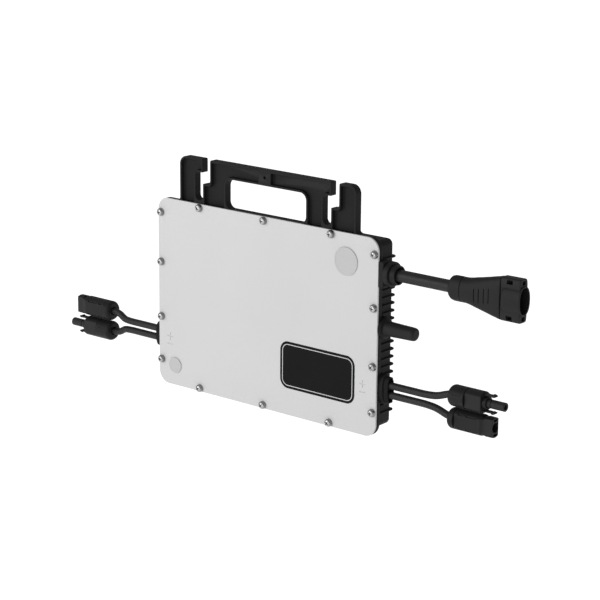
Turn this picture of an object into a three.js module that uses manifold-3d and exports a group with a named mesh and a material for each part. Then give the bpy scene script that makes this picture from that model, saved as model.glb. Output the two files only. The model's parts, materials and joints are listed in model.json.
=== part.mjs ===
// Two-panel micro inverter: a flat cast housing with cooling fins, a screwed-on
// cover, a slotted mounting bracket with a carrying handle, one AC lead with its
// plug, two pairs of DC leads with locking connectors and a stub antenna.
// Millimetres. X runs along the width, Y runs from the cover to the fins, Z is up.
import * as THREE from "three";
import { mergeVertices } from "three/addons/utils/BufferGeometryUtils.js";
import Module from "manifold-3d";

const wasm = await Module();
wasm.setup();
const { Manifold, Mesh: Solid } = wasm;

// ---- driving dimensions --------------------------------------------------
const W = 261; // cover and flange width
const H = 180; // cover and flange height
const CORNER = 12; // cover corner radius
const COVER_T = 1.7; // cover thickness
const FLANGE_FRONT = 2.2; // y of the flange face under the cover
const FLANGE_BACK = 6.5; // y of the back of the flange
const BODY_BACK = 29.3; // y of the back wall between the fins
const FIN_BACK = 33.6; // y of the fin tips
const BODY_X = 124.4; // half width of the body behind the flange
const BODY_Z0 = 4.9; // underside of the body
const BODY_Z1 = 174.9; // top of the body
const CAVITY_X = 121.2; // half width of the inside
const CAVITY_Z0 = 10;
const CAVITY_Z1 = 170.5;
const CAVITY_BACK = 25.8;
const FIN_COUNT = 21;
const FIN_PITCH = 7;
const FIN_Z0 = 18.5; // height of the lowest fin
const FIN_T = 1.8;
const FIN_X = 125.8; // half width over the fins
const SCREW_X = 126.7; // columns of cover screws
const SCREW_TOP_X = 78.15; // outer screws of the top and bottom rows
const SCREW_Z = [165.7, 118.0, 65.0, 22.96];
const SCREW_TOP_Z = 176.5;
const SCREW_BOTTOM_Z = 3.5;
const SCREW_HEAD_R = 3.7;
const SCREW_SHANK_R = 1.5;
const GAP = 0.3; // clearance between neighbouring pieces
const PORT_Y = 9.5; // depth of the axes of all leads and of the antenna
const AC_Z = 148.6; // AC lead
const DC_Z = 44; // middle of each pair of DC leads
const DC_UP = 48.3; // upper DC lead where it leaves the grommet
const DC_LOW = 39.6; // lower DC lead
const CONN_UP = 54.2; // axis of the upper DC connector
const CONN_LOW = 34.05; // axis of the lower DC connector
const AC_CABLE_R = 5.4;
const DC_CABLE_R = 3.25;
const ANT_Z = 99.1; // antenna axis
const BRACKET_FRONT = 2.0;
const BRACKET_BACK = 9.6;
const BRACKET_X0 = -104.4; // left edge
const BRACKET_X1 = 103.5; // right edge
const BRACKET_TOP = 222.2;
const SLOT_PITCH = 151.5; // bolt slot to bolt slot
const SLOT_L = -85.1; // left wall of the first slot
const HANDLE_X0 = -47.9; // handle opening
const HANDLE_X1 = 47.2;
const HANDLE_TOP = 207.6;
// The part hangs by the back face of its bracket, at this point.
const ORIGIN = new THREE.Vector3(0, BRACKET_BACK, 218.8);

// ---- geometry helpers ----------------------------------------------------
// A closed geometry as a solid, turned inside out where its faces point in.
function solid(g) {
  const plain = new THREE.BufferGeometry().setAttribute(
    "position",
    (g.index ? g.toNonIndexed() : g).getAttribute("position").clone(),
  );
  const m = mergeVertices(plain, 1e-4);
  const p = m.attributes.position.array;
  const t = new Uint32Array(m.index.array);
  let v = 0;
  for (let i = 0; i < t.length; i += 3) {
    const [a, b, c] = [t[i] * 3, t[i + 1] * 3, t[i + 2] * 3];
    v +=
      p[a] * (p[b + 1] * p[c + 2] - p[b + 2] * p[c + 1]) -
      p[a + 1] * (p[b] * p[c + 2] - p[b + 2] * p[c]) +
      p[a + 2] * (p[b] * p[c + 1] - p[b + 1] * p[c]);
  }
  if (v < 0)
    for (let i = 0; i < t.length; i += 3) [t[i + 1], t[i + 2]] = [t[i + 2], t[i + 1]];
  return new Manifold(new Solid({ numProp: 3, vertProperties: p, triVerts: t }));
}
const union = (...s) => s.reduce((a, b) => a.add(b));
const cut = (a, ...s) => s.reduce((x, y) => x.subtract(y), a);
function geometry(s) {
  const m = s.getMesh();
  const g = new THREE.BufferGeometry();
  const n = m.numProp;
  const pos = new Float32Array((m.vertProperties.length / n) * 3);
  for (let i = 0, j = 0; i < m.vertProperties.length; i += n, j += 3)
    for (let k = 0; k < 3; k++) pos[j + k] = m.vertProperties[i + k];
  g.setAttribute("position", new THREE.BufferAttribute(pos, 3));
  g.setIndex(new THREE.BufferAttribute(new Uint32Array(m.triVerts), 1));
  const f = g.toNonIndexed();
  f.computeVertexNormals();
  return f;
}
// Outline points. Every outline is an array of [u, v].
function arc(cu, cv, r, a0, a1, n) {
  const out = [];
  for (let i = 0; i <= n; i++) {
    const a = ((a0 + ((a1 - a0) * i) / n) * Math.PI) / 180;
    out.push([cu + r * Math.cos(a), cv + r * Math.sin(a)]);
  }
  return out;
}
function roundRect(u0, v0, u1, v1, r, n = 4) {
  return [
    ...arc(u1 - r, v0 + r, r, -90, 0, n),
    ...arc(u1 - r, v1 - r, r, 0, 90, n),
    ...arc(u0 + r, v1 - r, r, 90, 180, n),
    ...arc(u0 + r, v0 + r, r, 180, 270, n),
  ];
}
// A rounded outline around (cu, cv): power 2 is an ellipse, more is squarer.
function oval(cu, cv, a, b, n = 24, power = 2) {
  const out = [];
  for (let i = 0; i < n; i++) {
    const t = (2 * Math.PI * i) / n;
    const c = Math.cos(t);
    const s = Math.sin(t);
    out.push([
      cu + a * Math.sign(c) * Math.abs(c) ** (2 / power),
      cv + b * Math.sign(s) * Math.abs(s) ** (2 / power),
    ]);
  }
  return out;
}
// A circle of radius r with flats at cu - a and cu + a.
function flatted(cu, cv, r, a, n = 10) {
  const e = (Math.acos(a / r) * 180) / Math.PI;
  return [...arc(cu, cv, r, e, 180 - e, n), ...arc(cu, cv, r, 180 + e, 360 - e, n)];
}
function shape(points) {
  const s = new THREE.Shape();
  points.forEach(([u, v], i) => (i ? s.lineTo(u, v) : s.moveTo(u, v)));
  s.closePath();
  return s;
}
const BASIS = {
  x: new THREE.Matrix4().makeBasis(
    new THREE.Vector3(0, 1, 0),
    new THREE.Vector3(0, 0, 1),
    new THREE.Vector3(1, 0, 0),
  ),
  y: new THREE.Matrix4().makeBasis(
    new THREE.Vector3(1, 0, 0),
    new THREE.Vector3(0, 0, 1),
    new THREE.Vector3(0, -1, 0),
  ),
  z: new THREE.Matrix4(),
};
// An outline pushed along one axis, from a to b. On x the outline is (y, z), on y
// it is (x, z) and on z it is (x, y).
function prism(axis, points, a, b) {
  const g = new THREE.ExtrudeGeometry(shape(points), {
    depth: b - a,
    bevelEnabled: false,
    curveSegments: 1,
  });
  g.applyMatrix4(BASIS[axis]);
  if (axis === "x") g.translate(a, 0, 0);
  if (axis === "y") g.translate(0, b, 0);
  if (axis === "z") g.translate(0, 0, a);
  return solid(g);
}
const box = (x0, x1, y0, y1, z0, z1) => {
  const g = new THREE.BoxGeometry(x1 - x0, y1 - y0, z1 - z0);
  g.translate((x0 + x1) / 2, (y0 + y1) / 2, (z0 + z1) / 2);
  return solid(g);
};
// A solid of revolution about an axis along X. The profile is [x, r] pairs.
function turned(profile, y, z, n = 24) {
  const g = new THREE.LatheGeometry(
    profile.map(([x, r]) => new THREE.Vector2(r, x)),
    n,
  );
  g.applyMatrix4(
    new THREE.Matrix4().makeBasis(
      new THREE.Vector3(0, 1, 0),
      new THREE.Vector3(1, 0, 0),
      new THREE.Vector3(0, 0, -1),
    ),
  );
  g.translate(0, y, z);
  return solid(g);
}
// Convex outlines joined in order. Each section is {at, points}, at along the axis.
function loft(axis, sections) {
  const n = sections[0].points.length;
  const to = ([u, v], at) =>
    axis === "x" ? [at, u, v] : axis === "y" ? [u, at, v] : [u, v, at];
  const rings = sections.map((s) => s.points.map((p) => to(p, s.at)));
  const pos = [];
  const tri = (a, b, c) => pos.push(...a, ...b, ...c);
  for (let k = 0; k + 1 < rings.length; k++)
    for (let i = 0; i < n; i++) {
      const j = (i + 1) % n;
      tri(rings[k][i], rings[k + 1][i], rings[k + 1][j]);
      tri(rings[k][i], rings[k + 1][j], rings[k][j]);
    }
  for (let i = 1; i + 1 < n; i++) {
    tri(rings[0][0], rings[0][i], rings[0][i + 1]);
    const r = rings[rings.length - 1];
    tri(r[0], r[i + 1], r[i]);
  }
  const g = new THREE.BufferGeometry();
  g.setAttribute("position", new THREE.Float32BufferAttribute(pos, 3));
  return solid(g);
}
// A round lead along a list of points, its section with the given sides.
function lead(points, r, steps, sides = 10) {
  const curve = new THREE.CatmullRomCurve3(
    points.map((p) => new THREE.Vector3(...p)),
    false,
    "centripetal",
  );
  const g = new THREE.ExtrudeGeometry(shape(oval(0, 0, r, r, sides)), {
    steps,
    extrudePath: curve,
    bevelEnabled: false,
    curveSegments: 1,
  });
  return solid(g);
}

// ---- materials -----------------------------------------------------------
const paint = (color, roughness, metalness) =>
  new THREE.MeshStandardMaterial({ color, roughness, metalness });
const COVER_GREY = 0xd8d8d9;
const BLACK_METAL = 0x2f3031;
const BLACK_PLASTIC = 0x2e2f30;
const CABLE_BLACK = 0x2b2b2c;
const RUBBER = 0x1d1d1e;
const STEEL = 0xc9cacc;
const TIN = 0xcfd2d0;

const part = new THREE.Group();
part.name = "micro_inverter";
const frame = new THREE.Group();
frame.position.copy(ORIGIN).negate();
part.add(frame);
function piece(name, s, color, roughness = 0.5, metalness = 0) {
  const m = new THREE.Mesh(geometry(s), paint(color, roughness, metalness));
  m.name = name;
  frame.add(m);
  return m;
}

// ---- screw positions -----------------------------------------------------
const screws = [];
for (const side of [-1, 1]) for (const z of SCREW_Z) screws.push([side * SCREW_X, z]);
for (const x of [-SCREW_TOP_X, 0, SCREW_TOP_X]) {
  screws.push([x, SCREW_TOP_Z]);
  screws.push([x, SCREW_BOTTOM_Z]);
}

// ---- front cover ---------------------------------------------------------
{
  let s = prism("y", roundRect(-W / 2, 0, W / 2, H, CORNER, 6), 0, COVER_T);
  for (const [x, z] of screws)
    s = cut(s, prism("y", oval(x, z, SCREW_SHANK_R + GAP, SCREW_SHANK_R + GAP, 12), -1, 3));
  // Two round raised pads: a large one at the upper right, a small one lower left.
  s = union(s, prism("y", oval(95.2, 154.6, 12.85, 12.85, 32), -0.9, 0.5));
  s = union(s, prism("y", oval(-109.7, 19.6, 7.7, 7.7, 24), -0.9, 0.5));
  piece("front_cover", s, COVER_GREY, 0.45, 0.2);
}

// ---- cover gasket, in a groove of the flange ------------------------------
const GASKET = { x: 123.9, z0: 6.9, z1: 173.7, w: 1.8, r: 9 };
{
  const o = prism("y", roundRect(-GASKET.x, GASKET.z0, GASKET.x, GASKET.z1, GASKET.r, 4), 2.0, 3.6);
  const i = prism(
    "y",
    roundRect(
      -GASKET.x + GASKET.w,
      GASKET.z0 + GASKET.w,
      GASKET.x - GASKET.w,
      GASKET.z1 - GASKET.w,
      GASKET.r - GASKET.w,
      4,
    ),
    1,
    5,
  );
  piece("cover_gasket", cut(o, i), 0x3a3a3a, 0.8);
}

// ---- rear housing --------------------------------------------------------
{
  let s = prism("y", roundRect(-W / 2, 0, W / 2, H, CORNER, 6), FLANGE_FRONT, FLANGE_BACK);
  const body = (inset) =>
    roundRect(
      -BODY_X + inset,
      BODY_Z0 + inset,
      BODY_X - inset,
      BODY_Z1 - inset,
      Math.max(5.5 - inset, 1.5),
      4,
    );
  s = union(
    s,
    loft("y", [
      { at: FLANGE_BACK - 0.5, points: body(0) },
      { at: BODY_BACK - 1.8, points: body(0.4) },
      { at: BODY_BACK - 0.5, points: body(0.9) },
      { at: BODY_BACK, points: body(1.8) },
    ]),
  );
  // Fins wrap from one side wall round the back to the other.
  const fin = [
    [-BODY_X + 1, 11],
    [BODY_X - 1, 11],
    [FIN_X, 14],
    ...arc(FIN_X - 4.2, FIN_BACK - 4, 4, 0, 90, 3),
    ...arc(-FIN_X + 4.2, FIN_BACK - 4, 4, 90, 180, 3),
    [-FIN_X, 14],
  ];
  for (let i = 0; i < FIN_COUNT; i++) {
    const z = FIN_Z0 + i * FIN_PITCH;
    s = union(s, prism("z", fin, z - FIN_T / 2, z + FIN_T / 2));
  }
  // Boss of the AC lead: flat in front, round behind, level with the cover face.
  const dee = (front) => [
    [PORT_Y, AC_Z + 11.5],
    [front, AC_Z + 11.5],
    [front, AC_Z - 11.5],
    ...arc(PORT_Y, AC_Z, 11.5, -90, 90, 8),
  ];
  s = union(s, prism("x", dee(FLANGE_FRONT), 119, 131));
  s = union(s, prism("x", dee(0.3), 130.8, 135.8));
  // Boss of the antenna.
  s = union(
    s,
    turned([[119, 0], [119, 9.4], [131.4, 9.2], [133.2, 8.3], [134, 7.4], [134, 0]], PORT_Y + 0.6, ANT_Z, 24),
  );
  s = cut(s, box(100, W / 2 + GAP, -1, FLANGE_FRONT, ANT_Z - 12, ANT_Z + 12));
  // Oval bosses of the two pairs of DC leads.
  for (const side of [-1, 1]) {
    const o = oval(PORT_Y, DC_Z, 6.9, 13.7, 24, 2.3);
    const i = oval(PORT_Y, DC_Z, 6.2, 13.0, 24, 2.3);
    s = union(
      s,
      loft("x", [
        { at: side * 119, points: o },
        { at: side * 134.3, points: o },
        { at: side * 135, points: i },
      ]),
    );
  }
  // The inside, open at the flange.
  s = cut(s, prism("y", roundRect(-CAVITY_X, CAVITY_Z0, CAVITY_X, CAVITY_Z1, 9, 4), 1, CAVITY_BACK));
  // Groove of the gasket.
  const groove = cut(
    prism(
      "y",
      roundRect(-GASKET.x - GAP, GASKET.z0 - GAP, GASKET.x + GAP, GASKET.z1 + GAP, GASKET.r + GAP, 4),
      1,
      3.9,
    ),
    prism(
      "y",
      roundRect(
        -GASKET.x + GASKET.w + GAP,
        GASKET.z0 + GASKET.w + GAP,
        GASKET.x - GASKET.w - GAP,
        GASKET.z1 - GASKET.w - GAP,
        GASKET.r - GASKET.w - GAP,
        4,
      ),
      0,
      5,
    ),
  );
  s = cut(s, groove);
  // Blind screw holes in the flange.
  for (const [x, z] of screws)
    s = cut(s, prism("y", oval(x, z, SCREW_SHANK_R + GAP, SCREW_SHANK_R + GAP, 12), 1, 6.1));
  // Ways in for the leads and the antenna.
  s = cut(
    s,
    turned([[118, 0], [118, 5], [124.8, 5], [124.8, 7.0], [137, 7.0], [137, 0]], PORT_Y, AC_Z, 20),
  );
  s = cut(s, turned([[118, 0], [118, 4], [137, 4], [137, 0]], PORT_Y + 0.6, ANT_Z, 16));
  for (const side of [-1, 1])
    s = cut(
      s,
      loft("x", [
        { at: side * 118, points: oval(PORT_Y, DC_Z, 4.6, 9.6, 20, 2.6) },
        { at: side * 136, points: oval(PORT_Y, DC_Z, 4.6, 9.6, 20, 2.6) },
      ]),
    );
  piece("rear_housing", s, BLACK_METAL, 0.5, 0.4);
}

// ---- mounting bracket, part of the same casting ----------------------------
{
  const B = H + GAP;
  const slot = (dx) => [
    ...arc(dx + SLOT_L + 7.75, BRACKET_TOP - 1.2, 1.2, 90, 0, 2),
    [dx + SLOT_L + 8.95, 209.4],
    ...arc(dx + SLOT_L + 3, 206.4, 3, 90, 180, 3),
    ...arc(dx + SLOT_L + 4.675, 187.8, 4.675, 180, 360, 8),
    [dx + SLOT_L + 9.35, 199.2],
    ...arc(dx + SLOT_L + 14.2, 203.3, 4, -90, 0, 3),
    ...arc(dx + SLOT_L + 20, BRACKET_TOP - 1.8, 1.8, 180, 90, 2),
  ];
  const FOOT = BODY_Z1 + GAP; // the bracket reaches down behind the flange
  const outline = [
    [BRACKET_X0, FOOT],
    ...arc(BRACKET_X0 + 8, BRACKET_TOP - 8, 8, 180, 90, 5),
    ...slot(0),
    ...slot(SLOT_PITCH),
    ...arc(BRACKET_X1 - 8, BRACKET_TOP - 8, 8, 90, 0, 5),
    [BRACKET_X1, FOOT],
  ];
  const handle = [
    ...arc(HANDLE_X1 - 6.5, B + 6.5, 6.5, -90, 0, 4),
    ...arc(HANDLE_X1 - 7, HANDLE_TOP - 7, 7, 0, 90, 4),
    ...arc(HANDLE_X0 + 7, HANDLE_TOP - 7, 7, 90, 180, 4),
    ...arc(HANDLE_X0 + 6.5, B + 6.5, 6.5, 180, 270, 4),
  ];
  let s = prism("y", outline, BRACKET_FRONT, BRACKET_BACK);
  s = cut(s, prism("y", handle, 0, 12));
  s = cut(s, box(-110, 110, 0, FLANGE_BACK + GAP, 170, B));
  // Recessed panels on the front, inside a rim that is open at the foot.
  const rim = 2.2;
  const P0 = B - 1;
  const left = (dx) => dx + SLOT_L - 1.8; // edge beside a slot's left wall
  const low = (dx) => dx + SLOT_L + 9.35 + 1.9;
  const high = (dx) => dx + SLOT_L + 18.2 + 1.9;
  const top = BRACKET_TOP - 2.6;
  const tab = (dx) => dx + SLOT_L + 8.95 - 1.9; // edge beside the mouth's left wall
  const panels = [
    [
      [BRACKET_X0 + rim, P0],
      [left(0), P0],
      [left(0), 207.2],
      [left(0) + 3.4, 211.4],
      [tab(0), 211.4],
      [tab(0), top],
      ...arc(BRACKET_X0 + 8, BRACKET_TOP - 8, 8 - rim, 90, 180, 3),
    ],
    [
      [low(0), P0],
      [HANDLE_X0 - rim, P0],
      ...arc(HANDLE_X0 + 7, HANDLE_TOP - 7, 7 + rim, 180, 90, 4),
      [-8.8, HANDLE_TOP + rim],
      [-8.8, top],
      [high(0), top],
      [high(0), 203],
      [low(0) + 4.2, 197.0],
      [low(0), 197.0],
    ],
    [
      [HANDLE_X1 + rim, P0],
      [left(SLOT_PITCH), P0],
      [left(SLOT_PITCH), 207.2],
      [left(SLOT_PITCH) + 3.4, 211.4],
      [tab(SLOT_PITCH), 211.4],
      [tab(SLOT_PITCH), top],
      [6.4, top],
      [6.4, HANDLE_TOP + rim],
      ...arc(HANDLE_X1 - 7, HANDLE_TOP - 7, 7 + rim, 90, 0, 4),
    ],
    [
      [low(SLOT_PITCH), P0],
      [BRACKET_X1 - rim, P0],
      ...arc(BRACKET_X1 - 8, BRACKET_TOP - 8, 8 - rim, 0, 90, 3),
      [high(SLOT_PITCH), top],
      [high(SLOT_PITCH), 203],
      [low(SLOT_PITCH) + 4.2, 197.0],
      [low(SLOT_PITCH), 197.0],
    ],
  ];
  for (const p of panels) s = cut(s, prism("y", p, 1, 5.6));
  s = cut(s, prism("y", oval(-1, 215, 1.5, 1.5, 12), 1, 12));
  piece("mounting_bracket", s, BLACK_METAL, 0.5, 0.4);
}

// ---- cover screws ----------------------------------------------------------
{
  // Pan head with a cross recess. The axis runs along Y.
  const g = new THREE.LatheGeometry(
    [
      [0, 3.2],
      [1.7, 3.05],
      [2.9, 2.5],
      [3.5, 1.6],
      [SCREW_HEAD_R, 0.5],
      [SCREW_HEAD_R, 0.0],
      [SCREW_SHANK_R, 0.0],
      [SCREW_SHANK_R, -5.6],
      [0, -5.6],
    ].map(([r, y]) => new THREE.Vector2(r, y)),
    12,
  );
  g.rotateX(Math.PI);
  let head = solid(g);
  head = cut(head, box(-1.9, 1.9, -4, -1.9, -0.45, 0.45), box(-0.45, 0.45, -4, -1.9, -1.9, 1.9));
  const headGeometry = geometry(head);
  screws.forEach(([x, z], i) => {
    const m = new THREE.Mesh(headGeometry, paint(STEEL, 0.25, 0.9));
    m.name = `cover_screw_${String(i + 1).padStart(2, "0")}`;
    m.position.set(x, -GAP, z);
    m.rotation.y = (i * 37 * Math.PI) / 180;
    frame.add(m);
  });
}

// ---- AC gland ----------------------------------------------------------------
piece(
  "ac_gland_body",
  turned(
    [
      [125.1, 5.8], [125.1, 6.7], [136.1, 6.7], [136.1, 11.2], [140.4, 11.2], [141.1, 10.4],
      [141.1, 5.8], [125.1, 5.8],
    ],
    PORT_Y,
    AC_Z,
    24,
  ),
  BLACK_PLASTIC,
  0.45,
);
piece(
  "ac_gland_cap",
  turned(
    [[141.4, 5.8], [141.4, 9.0], [145.6, 8.7], [146.8, 8.0], [146.8, 7.3], [143.6, 5.9], [141.4, 5.8]],
    PORT_Y,
    AC_Z,
    24,
  ),
  BLACK_PLASTIC,
  0.45,
);

// ---- leads ---------------------------------------------------------------------
const AC_END = 213.9;
piece(
  "ac_cable",
  lead(
    [
      [138, PORT_Y, AC_Z],
      [163, PORT_Y, AC_Z],
      [188, PORT_Y, AC_Z],
      [AC_END, PORT_Y, AC_Z],
    ],
    AC_CABLE_R,
    8,
    12,
  ),
  CABLE_BLACK,
  0.55,
);
// A DC lead leaves its grommet level, then bends to its connector's axis. BEND is the
// distance before the connector and the share of the way over.
const BEND = {
  "-1": [[23, 0.01], [15.6, 0.14], [12.2, 0.43], [9.2, 0.73], [4.6, 0.96]],
  1: [[27.5, 0.02], [18, 0.18], [12.4, 0.42], [6.8, 0.76], [2.2, 0.96]],
};
const dcLead = (side, z0, z1, rear, end) =>
  lead(
    [
      [side * 126, PORT_Y, z0],
      [side * 145, PORT_Y, z0],
      [side * 162, PORT_Y, z0],
      ...BEND[side].map(([d, k]) => [side * (rear - d), PORT_Y, z0 + (z1 - z0) * k]),
      [side * (rear + 2.8), PORT_Y, z1],
      [side * (rear + end), PORT_Y, z1],
    ],
    DC_CABLE_R,
    20,
    10,
  );

// ---- DC grommets -----------------------------------------------------------------
for (const [side, name] of [
  [-1, "left"],
  [1, "right"],
]) {
  const neck = oval(PORT_Y, DC_Z, 4.3, 9.3, 24, 2.6);
  const lip = (k) => oval(PORT_Y, DC_Z, 5.2 - k, 11.9 - k, 24, 2.6);
  let s = union(
    loft("x", [
      { at: side * 121.6, points: neck },
      { at: side * 135.6, points: neck },
    ]),
    loft("x", [
      { at: side * 135.3, points: lip(0) },
      { at: side * 139, points: lip(0.1) },
      { at: side * 139.7, points: lip(0.7) },
    ]),
  );
  // A hollow face round the two leads.
  const hollow = oval(PORT_Y, DC_Z, 4.1, 9.9, 24, 2.6);
  s = cut(
    s,
    loft("x", [
      { at: side * 137.2, points: hollow },
      { at: side * 141, points: hollow },
    ]),
  );
  for (const z of [DC_UP, DC_LOW])
    s = cut(
      s,
      side > 0
        ? turned([[120, 0], [120, 3.6], [141, 3.6], [141, 0]], PORT_Y, z, 16)
        : turned([[-141, 0], [-141, 3.6], [-120, 3.6], [-120, 0]], PORT_Y, z, 16),
    );
  piece(`dc_grommet_${name}`, s, RUBBER, 0.7);
}

// ---- DC connectors -----------------------------------------------------------------
// Both kinds are laid out from the cable end (0) outwards.
const mirror = (side, rear, profile) => {
  const p = profile.map(([s, r]) => [side * (rear + s), r]);
  return side > 0 ? p : p.reverse();
};
const span = (side, a, b) => (side > 0 ? [a, b] : [-b, -a]);
// The kind with a barrel and two locking arms.
function dcPlug(name, side, rear, z) {
  piece(
    `${name}_nut`,
    turned(
      mirror(side, rear, [
        [0, 3.9], [0, 7.6], [0.8, 8.6], [2.0, 9.3], [3.2, 9.5], [17, 9.5], [17, 3.9], [0, 3.9],
      ]),
      PORT_Y,
      z,
      24,
    ),
    BLACK_PLASTIC,
  );
  const [a, b] = span(side, rear + 17.3, rear + 34);
  let s = prism("x", flatted(PORT_Y, z, 9.5, 7.2, 8), a, b);
  s = union(
    s,
    turned(
      mirror(side, rear, [
        [33, 0], [33, 5.7], [37.4, 5.7], [37.9, 5.3], [37.9, 3.9], [54.6, 3.9], [55.2, 3.3], [55.2, 0],
      ]),
      PORT_Y,
      z,
      20,
    ),
  );
  s = cut(s, turned(mirror(side, rear, [[30, 0], [30, 2.1], [57, 2.1], [57, 0]]), PORT_Y, z, 14));
  piece(`${name}_body`, s, BLACK_PLASTIC);
  piece(
    `${name}_contact`,
    turned(
      mirror(side, rear, [[30.4, 0], [30.4, 1.7], [53, 1.7], [53, 1.3], [40, 1.3], [40, 0]]),
      PORT_Y,
      z,
      12,
    ),
    TIN,
    0.3,
    0.9,
  );
  for (const [up, word] of [
    [1, "top"],
    [-1, "bottom"],
  ]) {
    // A thin tongue with an arrow tip. Outline in (x, z), then given its width in y.
    const o = [
      [34.4, 6.5], [42.4, 6.5], [42.4, 6.2], [45.2, 6.7], [45.8, 7.3], [44.8, 8.2], [42.4, 8.9], [41.6, 7.9],
      [34.4, 7.9],
    ].map(([u, v]) => [side * (rear + u), z + up * v]);
    piece(`${name}_arm_${word}`, prism("y", o, PORT_Y - 2.3, PORT_Y + 2.3), BLACK_PLASTIC);
  }
}
// The kind with a hole in its front, and slots for the arms of the other kind.
function dcSocket(name, side, rear, z) {
  piece(
    `${name}_nut`,
    turned(
      mirror(side, rear, [
        [0, 3.9], [0, 7.6], [0.8, 8.6], [1.9, 9.3], [2.8, 9.5], [6.6, 9.5], [6.6, 3.9], [0, 3.9],
      ]),
      PORT_Y,
      z,
      24,
    ),
    BLACK_PLASTIC,
  );
  const at = (s, r, a) => ({
    at: side * (rear + s),
    points: flatted(PORT_Y, z, r, a, 8),
  });
  let s = loft("x", [
    at(6.9, 9.5, 7.2),
    at(33, 9.5, 7.2),
    at(34.4, 9.2, 6.0),
    at(36, 8.3, 5.4),
    at(37.6, 9.1, 5.0),
    at(45.3, 9.0, 4.7),
  ]);
  s = cut(
    s,
    turned(mirror(side, rear, [[18, 0], [18, 4.15], [47, 4.15], [47, 0]]), PORT_Y, z, 18),
    turned(mirror(side, rear, [[5, 0], [5, 3.65], [14, 3.65], [14, 0]]), PORT_Y, z, 16),
  );
  const [a, b] = span(side, rear + 38.6, rear + 47);
  for (const up of [1, -1]) {
    const [z0, z1] = up > 0 ? [z + 5.5, z + 7.5] : [z - 7.5, z - 5.5];
    s = cut(s, box(a, b, PORT_Y - 2.6, PORT_Y + 2.6, z0, z1));
  }
  piece(`${name}_body`, s, BLACK_PLASTIC);
  piece(
    `${name}_contact`,
    turned(
      mirror(side, rear, [[18.4, 0], [18.4, 1.9], [20.4, 1.9], [20.4, 1.1], [36, 1.1], [37, 0.6], [37, 0]]),
      PORT_Y,
      z,
      12,
    ),
    TIN,
    0.3,
    0.9,
  );
}
const RIGHT_REAR = 205.8;
const LEFT_REAR = 200.6;
dcPlug("dc_plug_right", 1, RIGHT_REAR, CONN_UP);
dcSocket("dc_socket_right", 1, RIGHT_REAR, CONN_LOW);
dcSocket("dc_socket_left", -1, LEFT_REAR, CONN_UP);
dcPlug("dc_plug_left", -1, LEFT_REAR, CONN_LOW);
piece("dc_cable_right_upper", dcLead(1, DC_UP, CONN_UP, RIGHT_REAR, 16.7), CABLE_BLACK, 0.55);
piece("dc_cable_right_lower", dcLead(1, DC_LOW, CONN_LOW, RIGHT_REAR, 13.7), CABLE_BLACK, 0.55);
piece("dc_cable_left_upper", dcLead(-1, DC_UP, CONN_UP, LEFT_REAR, 13.7), CABLE_BLACK, 0.55);
piece("dc_cable_left_lower", dcLead(-1, DC_LOW, CONN_LOW, LEFT_REAR, 16.7), CABLE_BLACK, 0.55);

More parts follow.
